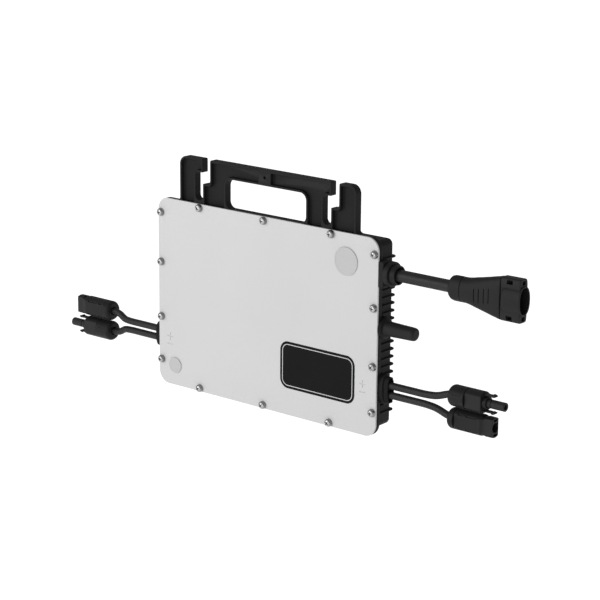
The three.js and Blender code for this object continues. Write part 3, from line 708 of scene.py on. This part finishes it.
def fin_outline(d):
    """Plan of a fin: it starts on the side walls and wraps round the back."""
    r = max(4 - d, 1.2)
    return tidy(
        [(-BODY_X + 2.4, 9.5), (BODY_X - 2.4, 9.5), (BODY_X - 0.7 - d * 0.2, 10.5), (FIN_X - d, 14.5)]
        + arc(FIN_X - d - r - 0.2, FIN_BACK - d - r, r, 0, 90, 8)
        + arc(-FIN_X + d + r + 0.2, FIN_BACK - d - r, r, 90, 180, 8)
        + [(-FIN_X + d, 14.5), (-BODY_X + 0.7 + d * 0.2, 10.5)]
    )


FIN_SHAPE = [(1.62, 5.4), (1.30, 3.6), (1.02, 1.7), (0.84, 0.55), (0.62, 0.18), (0.3, 0.03), (0.0, 0.0)]
fins = []
for i in range(21):
    z = 18.5 + 7 * i
    s = [(z - h, fin_outline(d)) for h, d in FIN_SHAPE]
    s += [(z + h, fin_outline(d)) for h, d in FIN_SHAPE[-2::-1]]
    fins.append(loft("z", s))
housing = union(housing, merge(*fins))


def dee(front, r, d=0.0):
    """Outline (y, z) of the AC lead's boss: flat in front, round behind."""
    r = r - d
    f = front + d
    return soft(
        [(f, AC_Z + r), (f, AC_Z - r)] + arc(PORT_Y, AC_Z, r, -90, 90, 28), [1.0, 1.0] + [0] * 29, 3, True
    )


def dee_prism(front, a, b, e):
    s = [(a, dee(front, 11.5))]
    for k in range(5):
        t = k / 4 * pi / 2
        s.append((b - e + e * sin(t), dee(front, 11.5, e * (1 - cos(t)))))
    return loft("x", s)


housing = union(housing, dee_prism(2.2, 119, 131, 0.3), dee_prism(0.3, 130.8, 135.8, 1.1))
housing = union(
    housing,
    turned(
        [(119, 0), (119, 10.4), (130.4, 9.9)]
        + [(130.4 + 3.6 * sin(t * pi / 16), 9.9 - 2.6 * (1 - cos(t * pi / 16))) for t in range(1, 9)]
        + [(134, 0)],
        PORT_Y + 0.6,
        99.1,
        72,
    ),
)
housing = cut(housing, box(100, 130.8, -2, 2.2, 84, 114), box(130.75, 140, -2, 0.2, 84, 114))
for side in (-1, 1):
    s = []
    for k in range(-1, 6):
        if k < 0:
            s.append((side * 119, oval(PORT_Y, DC_Z, 6.9, 13.7, 72, 2.3)))
        else:
            t = k / 5 * pi / 2
            d = 1.3 * (1 - cos(t))
            s.append((side * (133.7 + 1.3 * sin(t)), oval(PORT_Y, DC_Z, 6.9 - d, 13.7 - d, 72, 2.3)))
    housing = union(housing, loft("x", s))
# The cover must sit clear: nothing of the casting stands in its place.
housing = cut(housing, box(-130.5, 130.5, -2, 2.0, 30, 58))
# Inside, and the ways in.
housing = cut(housing, prism("y", round_rect(-121.2, 10, 121.2, 170.5, 9, 6), 1, 25.8))
housing = cut_each(
    housing,
    turned([(118, 0), (118, 7.0), (134.6, 7.0), (134.6, 9.0), (137, 9.0), (137, 0)], PORT_Y, AC_Z, 48),
    turned([(118, 0), (118, 4), (137, 4), (137, 0)], PORT_Y + 0.6, 99.1, 24),
)
for side in (-1, 1):
    housing = cut_each(
        housing,
        loft("x", [(side * 118, oval(PORT_Y, DC_Z, 4.6, 9.6, 48, 2.6)), (side * 136, oval(PORT_Y, DC_Z, 4.6, 9.6, 48, 2.6))]),
    )
groove = cut(
    prism("y", round_rect(-124.2, 6.6, 124.2, 174.0, 9.3, 6), 1, 3.9),
    prism("y", round_rect(-121.8, 9.0, 121.8, 171.6, 6.9, 6), 0, 5),
)
housing = cut(housing, groove)
housing = cut(housing, *[prism("y", oval(x, z, 1.8, 1.8, 16), 1, 6.1) for x, z in screws])
piece("housing_casting", housing, CAST, ["rear_housing"], angle=32)

# ---- mounting bracket ----------------------------------------------------------------------
TOP, BX_L, BX_R, HTOP, LEFT_WALL, PITCH = 222.2, -104.4, 103.5, 207.6, -85.1, 151.5
HL, HR = -47.9, 47.2
B = 180.3


def slot_line(dx):
    L = LEFT_WALL + dx
    return (
        arc(L + 7.75, TOP - 1.2, 1.2, 90, 0, 6)
        + arc(L + 8.35, 210.0, 0.6, 0, -90, 3)
        + arc(L + 3, 206.4, 3, 90, 180, 10)
        + arc(L + 4.675, 187.8, 4.675, 180, 360, 24)
        + [(L + 9.35, 198.4)]
        + arc(L + 10.15, 198.4, 0.8, 180, 94, 4)
        + arc(L + 14.2, 203.3, 4, -90, 0, 10)
        + arc(L + 20, TOP - 1.8, 1.8, 180, 90, 6)
    )


FLARE, FOOT = 2.2, 175.2
outline = tidy(
    [(BX_L - FLARE, FOOT), (BX_L - FLARE, B)]
    + [(BX_L - FLARE + FLARE * sin(t), B + FLARE * (1 - cos(t))) for t in (0.5, 0.9, 1.25, pi / 2)]
    + arc(BX_L + 8, TOP - 8, 8, 180, 90, 16)
    + slot_line(0)
    + slot_line(PITCH)
    + arc(BX_R - 8, TOP - 8, 8, 90, 0, 16)
    + [(BX_R + FLARE - FLARE * sin(t), B + FLARE * (1 - cos(t))) for t in (pi / 2, 1.25, 0.9, 0.5)]
    + [(BX_R + FLARE, B), (BX_R + FLARE, FOOT)]
)
bracket = prism("y", outline, 2.0, 9.6, 0.3, 0.45)
# The handle opening, its edges rounded on both faces.
handle = tidy(
    arc(HR - 6.5, B + 6.5, 6.5, -90, 0, 14)
    + arc(HR - 7, HTOP - 7, 7, 0, 90, 14)
    + arc(HL + 7, HTOP - 7, 7, 90, 180, 14)
    + arc(HL + 6.5, B + 6.5, 6.5, 180, 270, 14)
)
grow = [(0.0, 1.2), (1.6, 0.9), (2.0, 0.35), (2.12, 0.14), (2.35, 0.0), (9.15, 0.0), (9.42, 0.14), (9.6, 0.45), (10.0, 0.9), (11.0, 1.2)]
bracket = cut(bracket, loft("y", [(w, inset(handle, -d)) for w, d in grow]))
# It reaches down behind the flange.
bracket = cut(bracket, box(-120, 120, -2, 6.8, 160, B))
rim, P0 = 2.2, B - 2


def lft(dx):
    return dx + LEFT_WALL - 1.8


def low(dx):
    return dx + LEFT_WALL + 9.35 + 1.9


def high(dx):
    return dx + LEFT_WALL + 18.2 + 1.9


def tab(dx):
    return dx + LEFT_WALL + 8.95 - 1.9


ptop = TOP - 2.6
panels = [
    [(BX_L + rim, P0), (lft(0), P0), (lft(0), 207.2), (lft(0) + 3.4, 211.4), (tab(0), 211.4), (tab(0), ptop)]
    + arc(BX_L + 8, TOP - 8, 8 - rim, 90, 180, 8),
    [(low(0), P0), (HL - rim, P0)]
    + arc(HL + 7, HTOP - 7, 7 + rim, 180, 90, 10)
    + [(-8.8, HTOP + rim), (-8.8, ptop), (high(0), ptop), (high(0), 203)]
    + arc(low(0) + 4.2 + 0.2, 201.6, 4.6, -18, -82, 5)
    + [(low(0), 197.0)],
    [(HR + rim, P0), (lft(PITCH), P0), (lft(PITCH), 207.2), (lft(PITCH) + 3.4, 211.4), (tab(PITCH), 211.4), (tab(PITCH), ptop), (6.4, ptop), (6.4, HTOP + rim)]
    + arc(HR - 7, HTOP - 7, 7 + rim, 90, 0, 10),
    [(low(PITCH), P0), (BX_R - rim, P0)]
    + arc(BX_R - 8, TOP - 8, 8 - rim, 0, 90, 8)
    + [(high(PITCH), ptop), (high(PITCH), 203)]
    + arc(low(PITCH) + 4.2 + 0.2, 201.6, 4.6, -18, -82, 5)
    + [(low(PITCH), 197.0)],
]
cutters = []
for p in panels:
    p = tidy(soft(tidy(p), 0.9, 3, True))
    cutters.append(
        loft(
            "y",
            [(1.0, inset(p, -0.85)), (2.0, inset(p, -0.55)), (2.22, inset(p, -0.3)), (4.7, p), (5.25, inset(p, 0.2)), (5.6, inset(p, 0.7))],
        )
    )
bracket = cut(bracket, *cutters)
bracket = cut(bracket, prism("y", oval(-1, 215, 1.5, 1.5, 32), 1, 12))
piece("bracket_casting", bracket, CAST, ["mounting_bracket"], angle=36)

# ---- screws ---------------------------------------------------------------------------------
head = soft(
    [(-3.7, 0), (-3.65, 1.3), (-3.3, 2.4), (-2.5, 3.25), (-0.9, 3.65), (0.0, 3.7), (0.0, 1.5), (5.6, 1.5), (5.6, 0)],
    [0, 0.6, 0.6, 0.6, 0.5, 0.12, 0.1, 0.2, 0],
    3,
)
for i, (x, z) in enumerate(screws):
    s = turned([(w - 0.3, r) for w, r in head], 0, 0, 48, "y")
    cross = []
    for j in range(2):
        a, c = 0.46, 0.34
        cross.append(
            loft(
                "y",
                [
                    (-4.5, round_rect(-2.2, -a, 2.2, a, 0.2, 2) if j else round_rect(-a, -2.2, a, 2.2, 0.2, 2)),
                    (-2.0, round_rect(-1.2, -c, 1.2, c, 0.15, 2) if j else round_rect(-c, -1.2, c, 1.2, 0.15, 2)),
                ],
            )
        )
    s = cut_each(s, *cross)
    a = i * 37 * pi / 180
    s.data.transform(Matrix.Translation((x, 0, z)) @ Matrix.Rotation(a, 4, "Y"))
    piece(f"screw_{i + 1:02d}", s, STEEL, [f"cover_screw_{i + 1:02d}"])

# ---- AC gland ----------------------------------------------------------------------------------


def ring_piece(profile, sizes, cy, cz, n=96, axis="x", k=4):
    p = soft(profile, sizes, k, True)
    return turned(p + [p[0]], cy, cz, n, axis)


gland = ring_piece(
    [(125.1, 5.8), (125.1, 6.7), (136.1, 6.7), (136.1, 11.2), (141.1, 11.2), (141.1, 8.9), (140.4, 8.3), (140.4, 5.8)],
    [0.2, 0.2, 0.1, 0.5, 1.1, 0.3, 0.3, 0.2],
    PORT_Y,
    AC_Z,
)
piece("ac_gland_ring", gland, PLASTIC, ["ac_gland_body"])
cap = ring_piece(
    [(140.5, 5.8), (140.5, 8.2), (141.4, 9.0), (146.8, 8.6), (146.8, 7.3), (143.4, 6.0)],
    [0.1, 0.1, 0.3, 1.1, 0.3, 0.3],
    PORT_Y,
    AC_Z,
)
piece("ac_gland_collar", cap, PLASTIC, ["ac_gland_cap"])

# ---- DC grommets -----------------------------------------------------------------------------
for side, s_name in ((-1, "left"), (1, "right")):

    def lip(d, n=72):
        return oval(PORT_Y, DC_Z, 5.2 - d, 11.9 - d, n, 2.6)

    s = [(side * 121.6, oval(PORT_Y, DC_Z, 4.3, 9.3, 72, 2.6)), (side * 135.3, oval(PORT_Y, DC_Z, 4.3, 9.3, 72, 2.6)), (side * 135.3, lip(0))]
    for k in range(6):
        t = k / 5 * pi / 2
        s.append((side * (138.3 + 1.4 * sin(t)), lip(1.1 * (1 - cos(t)))))
    g = loft("x", s)
    # A hollow face round the two leads.
    g = cut(
        g,
        loft(
            "x",
            [(side * w, oval(PORT_Y, DC_Z, a, b, 72, 2.6)) for w, a, b in ((141, 4.5, 11.0), (139.7, 4.4, 10.9), (139.2, 4.1, 10.6), (136.7, 3.95, 10.4))],
        ),
    )
    for z in (DC_UP, DC_LOW):
        pr = [(side * 120, 0), (side * 120, 3.45), (side * 141, 3.45), (side * 141, 0)]
        g = cut(g, turned(pr, PORT_Y, z, 40))
    piece(f"grommet_{s_name}", g, RUBBER, [f"dc_grommet_{s_name}"])

# ---- DC connectors --------------------------------------------------------------------------


def along(side, rear, profile):
    return [(side * (rear + s), r) for s, r in profile]


def nut(side, rear, z, length, name, node):
    """Cap nut: round shoulder at the cable end, shallow flutes on its barrel."""
    prof = [(0, 3.9), (0, 7.6), (0.8, 8.6), (2.4, 9.5), (length, 9.5), (length, 3.9)]
    n = ring_piece(
        along(side, rear, prof), [0.3, 0.5, 0.5, 0.9, 0.35, 0.1], PORT_Y, z, 96
    )
    if length > 10:
        flutes = []
        for k in range(8):
            a = k * pi / 4 + pi / 8
            cy, cz = PORT_Y + 10.55 * cos(a), z + 10.55 * sin(a)
            flutes.append(
                turned(
                    along(side, rear, soft([(4.2, 0), (4.2, 1.0), (5.4, 1.35), (length - 3.2, 1.35), (length - 2.4, 0)], [0, 0.5, 0.5, 0.5, 0], 2)),
                    cy,
                    cz,
                    20,
                )
            )
        n = cut(n, *flutes)
    return piece(name, n, PLASTIC, [node], angle=34)


def plug(s_name, side, rear, z):
    node = f"dc_plug_{s_name}"
    out = [nut(side, rear, z, 17.0, f"{node}_cap_nut", f"{node}_nut")]
    s = []
    for w, d in ((17.3, 0.5), (17.45, 0.2), (17.8, 0.0), (33.0, 0.0), (33.6, 0.15), (33.9, 0.4), (34.0, 0.7)):
        s.append((side * (rear + w), flatted(PORT_Y, z, 9.5 - d, 7.2 - d, 24)))
    b = loft("x", s)
    b = union(
        b,
        turned(
            along(
                side,
                rear,
                soft(
                    [(33, 0), (33, 5.7), (37.9, 5.7), (37.9, 4.6), (37.5, 3.9), (55.2, 3.9), (55.2, 0)],
                    [0, 0, 0.5, 0.2, 0.1, 0.5, 0],
                    3,
                ),
            ),
            PORT_Y,
            z,
            64,
        ),
    )
    b = cut(b, turned(along(side, rear, [(30, 0), (30, 2.1), (54.4, 2.1), (55.4, 2.9), (57, 2.9), (57, 0)]), PORT_Y, z, 40))
    # The groove of the sealing ring.
    b = cut(b, ring_piece(along(side, rear, [(41.2, 3.5), (41.2, 4.8), (42.4, 4.8), (42.4, 3.5)]), 0, PORT_Y, z, 64))
    out.append(piece(f"{node}_shell", b, PLASTIC, [f"{node}_body"], angle=34))
    for up_, word in ((1, "top"), (-1, "bottom")):
        o = [
            (34.4, 6.5), (42.4, 6.5), (42.4, 6.2), (45.2, 6.7), (45.8, 7.3), (44.8, 8.2), (42.4, 8.9), (41.6, 7.9), (34.4, 7.9),
        ]
        o = soft(o, [0, 0.2, 0.15, 0.3, 0.3, 0.3, 0.25, 0.4, 0], 3, True)
        arm = prism("y", [(side * (rear + u), z + up_ * v) for u, v in o], PORT_Y - 2.3, PORT_Y + 2.3, 0.28, 0.28)
        out.append(
            piece(f"{node}_latch_{word}", arm, PLASTIC, [f"{node}_arm_{word}"], body=f"{node}_arm_{word}")
        )
    return out


def socket(s_name, side, rear, z):
    node = f"dc_socket_{s_name}"
    out = [nut(side, rear, z, 6.6, f"{node}_cap_nut", f"{node}_nut")]

    def sec(w, r, a):
        return (side * (rear + w), flatted(PORT_Y, z, r, a, 24))

    b = loft(
        "x",
        [
            sec(6.9, 9.1, 6.9), sec(7.05, 9.35, 7.1), sec(7.4, 9.5, 7.2), sec(32.4, 9.5, 7.2), sec(33.2, 9.45, 7.0),
            sec(33.9, 9.3, 6.5), sec(34.6, 8.9, 5.9), sec(35.3, 8.5, 5.55), sec(36.0, 8.35, 5.4), sec(36.7, 8.55, 5.3),
            sec(37.4, 8.95, 5.1), sec(38.2, 9.1, 5.0), sec(44.4, 9.02, 4.74), sec(44.95, 8.9, 4.62), sec(45.3, 8.55, 4.3),
        ],
    )
    b = cut_each(
        b,
        turned(along(side, rear, [(18, 0), (18, 4.15), (44.8, 4.15), (45.5, 4.6), (47, 4.6), (47, 0)]), PORT_Y, z, 56),
        turned(along(side, rear, [(5, 0), (5, 3.6), (14, 3.6), (14, 0)]), PORT_Y, z, 40),
    )
    cuts = []
    for up_ in (1, -1):
        z0, z1 = sorted((z + up_ * 5.5, z + up_ * 7.5))
        x0, x1 = sorted((side * (rear + 38.6), side * (rear + 47)))
        cuts.append(prism("x", round_rect(PORT_Y - 2.6, z0, PORT_Y + 2.6, z1, 0.5, 4), x0, x1))
    b = cut(b, *cuts)
    # Windows over the locking arms, beside the flats.
    cuts = []
    for yy in (-1, 1):
        for up_ in (1, -1):
            for a0, a1 in (((11.2, 16.2), (18.8, 30.0)) if side > 0 else ((9.0, 14.2), (17.0, 28.4))):
                x0, x1 = sorted((side * (rear + a0), side * (rear + a1)))
                y0, y1 = sorted((PORT_Y + yy * 6.3, PORT_Y + yy * 8.6))
                z0, z1 = sorted((z + up_ * 5.5, z + up_ * 6.9))
                cuts.append(box(x0, x1, y0, y1, z0, z1))
    b = cut(b, *cuts)
    # Square notches at the waist, above and below.
    cuts = []
    for up_ in (1, -1):
        x0, x1 = sorted((side * (rear + 33.6), side * (rear + 37.4)))
        z0, z1 = sorted((z + up_ * 7.9, z + up_ * 10.2))
        cuts.append(box(x0, x1, PORT_Y - 3.0, PORT_Y + 3.0, z0, z1))
    b = cut(b, *cuts)
    out.append(piece(f"{node}_shell", b, PLASTIC, [f"{node}_body"], angle=34))
    return out


conn = {
    ("right", "upper"): plug("right", 1, RIGHT_REAR, CONN_UP),
    ("right", "lower"): socket("right", 1, RIGHT_REAR, CONN_LOW),
    ("left", "upper"): socket("left", -1, LEFT_REAR, CONN_UP),
    ("left", "lower"): plug("left", -1, LEFT_REAR, CONN_LOW),
}

# ---- AC plug ------------------------------------------------------------------------------


def sweep(keys, n=6):
    """Smooth sections between the given ones: (x, half_y, half_z, power)."""
    pts = [Vector(k) for k in keys]
    p = [2 * pts[0] - pts[1]] + pts + [2 * pts[-1] - pts[-2]]
    out = []
    for i in range(1, len(p) - 2):
        a, b, c, d = p[i - 1 : i + 3]
        for k in range(n):
            t = k / n
            q = 0.5 * (2 * b + (c - a) * t + (2 * a - 5 * b + 4 * c - d) * t * t + (3 * b - a - 3 * c + d) * t ** 3)
            q[0] = b[0] + (c[0] - b[0]) * t
            out.append(q)
    return out + [p[-2]]


def sec4(q, n=96):
    return (q[0], oval(PORT_Y, AC_Z + (q[4] if len(q) > 4 else 0), q[1], q[2], n, q[3]))


k = sweep([(202.0, 6.4, 8.3, 2, -0.3), (202.4, 6.9, 9.1, 2, -0.3), (203.6, 7.35, 10.3, 2, -0.3), (206.2, 7.6, 11.1, 2, -0.3), (210.0, 7.6, 11.2, 2, -0.3), (213.8, 7.6, 11.2, 2, -0.3), (214.2, 7.3, 10.9, 2, -0.3)])
acnut = loft("x", [sec4(q) for q in k])
acnut = cut(acnut, turned([(201, 0), (201, 6.2), (203.4, 5.65), (216, 5.65), (216, 0)], PORT_Y, AC_Z, 64))
ac_parts = [piece("ac_plug_cap_nut", acnut, PLASTIC, ["ac_plug_nut"])]
k = sweep(
    [
        (214.5, 7.1, 10.6, 2.2, -0.3), (214.9, 7.5, 11.0, 2.2, -0.3), (220, 7.4, 11.3, 2.2, -0.3), (228, 7.2, 12.9, 2.5, -0.4),
        (240, 7.0, 15.4, 3, -0.5), (250, 6.9, 17.6, 3.4, -0.5), (254.4, 6.75, 18.45, 3.8, -0.4), (255.0, 6.4, 18.0, 3.8, -0.4),
    ]
)
acbody = loft("x", [sec4(q) for q in k])
cuts = []
for x, z0, z1 in ((229.4, 140.6, 152.6), (234.2, 141.0, 153.6), (239.3, 141.6, 154.6), (244.2, 142.2, 155.6)):
    for y0, y1 in ((PORT_Y - 9, PORT_Y - 6.3), (PORT_Y + 6.3, PORT_Y + 9)):
        cuts.append(prism("y", round_rect(x - 0.55, z0, x + 0.55, z1, 0.5, 4), y0, y1))
acbody = cut(acbody, *cuts)
ac_parts.append(piece("ac_plug_handle", acbody, PLASTIC, ["ac_plug_body"]))

plate = loft(
    "x",
    [sec4(q) for q in ((255.3, 5.3, 18.2, 7, -0.1), (255.6, 5.7, 18.7, 7, -0.1), (273.6, 5.7, 18.8, 7), (274.3, 5.5, 18.65, 7), (274.7, 5.25, 18.4, 7), (274.8, 4.9, 18.05, 7))],
)
barrel = loft(
    "x",
    [sec4(q) for q in ((256.4, 6.4, 10.4, 2.3), (257.2, 7.5, 12.0, 2.3), (258.3, 8.15, 12.6, 2.3), (259.6, 8.4, 12.8, 2.3), (274.8, 8.4, 12.8, 2.3), (275.45, 8.25, 12.65, 2.3), (275.8, 7.95, 12.35, 2.3), (275.9, 7.6, 12.0, 2.3))],
)
shell = union(plate, barrel)
shell = cut(shell, loft("x", [sec4(q) for q in ((259.5, 6.7, 11.2, 2.3), (275.3, 6.7, 11.2, 2.3), (276.0, 7.1, 11.6, 2.3), (278, 7.1, 11.6, 2.3))]))
cuts, cuts2 = [], []
for up_ in (1, -1):
    z0 = AC_Z + 13.5 if up_ > 0 else AC_Z - 17.1
    cuts.append(prism("x", round_rect(PORT_Y - 2.4, z0, PORT_Y + 2.4, z0 + 3.6, 0.6, 4), 261.2, 278))
    cuts2.append(prism("y", round_rect(261.2, z0, 267.2, z0 + 3.6, 0.6, 4), PORT_Y - 9, PORT_Y + 9))
shell = cut(shell, *cuts)
shell = cut(shell, *cuts2)
ac_parts.append(piece("ac_plug_mouth", shell, PLASTIC, ["ac_plug_shell"], angle=34))

ins = loft("x", [sec4(q) for q in ((259.8, 6.3, 10.8, 2.3), (266.0, 6.3, 10.8, 2.3), (266.3, 6.0, 10.5, 2.3))])
for dz in (6.2, 0.0, -6.2):
    ins = union(ins, turned(soft([(265, 0), (265, 2.95), (268.4, 2.95), (268.4, 0)], [0, 0, 0.4, 0], 3), PORT_Y, AC_Z + dz, 40))
ins = cut(ins, *[turned([(260.6, 0), (260.6, 2.2), (270, 2.2), (270, 0)], PORT_Y, AC_Z + dz, 32) for dz in (6.2, 0.0, -6.2)])
ac_parts.append(piece("ac_plug_core", ins, INSERT, ["ac_plug_insert"]))

# ---- antenna -------------------------------------------------------------------------------
ant = turned(
    [(122, 0), (122, 3.7), (134.05, 3.7), (134.05, 7.2)]
    + soft([(134.05, 7.2), (135.2, 6.85), (137.6, 6.65), (150, 6.3), (162.6, 6.0), (165.4, 5.4), (165.4, 0)], [0, 0.4, 0.8, 2, 1, 2.5, 0], 6)[1:],
    PORT_Y + 0.6,
    99.1,
    96,
)
ant = cut(ant, turned([(121, 0), (121, 2.4), (161, 2.4), (161, 0)], PORT_Y + 0.6, 99.1, 24))
piece("antenna_cover", ant, RADOME, ["antenna_radome"])

# ---- pieces kept from the frame ---------------------------------------------------------------
KEPT = {
    "cover_gasket": GASKET,
    "antenna_element": COPPER,
    "main_circuit_board": BOARD,
    "transformer_left": DARK,
    "transformer_right": DARK,
    "filter_choke": DARK,
    "grid_relay": DARK,
    "wireless_module": CAN,
    "bus_capacitor_1": DARK,
    "bus_capacitor_2": DARK,
}
for n in list(frame["nodes"]):
    if "_contact" in n:
        KEPT[n] = TIN
for n, m in KEPT.items():
    o = bpy.data.objects[n]
    if not o.material_slots:
        o.data.materials.append(m)
    for sl in o.material_slots:
        sl.material = m

# ---- cords ---------------------------------------------------------------------------------
for (s_name, u_name), (ob, length) in dc_leads.items():
    side = 1 if s_name == "right" else -1
    z = DC_UP if u_name == "upper" else DC_LOW

# ---- floor and light ---------------------------------------------------------------------------
FLOOR_Z = row((0, 0, -260))[2]
fl = make("pale_floor", [(-14, -14, 0), (14, -14, 0), (14, 14, 0), (-14, 14, 0)], [(0, 1, 2, 3)])
fl.name = "pale_floor"
fl.location = (0, 0, FLOOR_Z)
fm = bpy.data.materials.new("pale_floor")
fm.use_nodes = True
p = fm.node_tree.nodes["Principled BSDF"]
p.inputs["Base Color"].default_value = (0.5, 0.5, 0.5, 1)
p.inputs["Roughness"].default_value = 0.9
p.inputs["Specular IOR Level"].default_value = 0.0
p.inputs["Emission Color"].default_value = (1, 1, 1, 1)
p.inputs["Emission Strength"].default_value = 0.9
fl.data.materials.append(fm)

world = bpy.data.worlds.new("studio")
scene.world = world
world.use_nodes = True
bg = world.node_tree.nodes["Background"]
bg.inputs[0].default_value = (1, 1, 1, 1)
bg.inputs[1].default_value = 0.42

centre = Vector(row((0, 15, 90)))


def softbox(name, direction, distance, size, power):
    li = bpy.data.lights.new(name, "AREA")
    li.shape, li.size, li.energy = "SQUARE", size, power
    ob = bpy.data.objects.new(name, li)
    scene.collection.objects.link(ob)
    d = Vector(direction).normalized()
    ob.location = centre + d * distance
    ob.rotation_euler = (-d).to_track_quat("-Z", "Y").to_euler()
    return ob


softbox("front_left_softbox", (-0.55, -1.0, 0.35), 2.2, 1.5, 24)
softbox("front_softbox", (0.35, -1.0, 0.15), 2.6, 1.2, 9)

scene.view_settings.view_transform = "Standard"
scene.view_settings.look = "None"
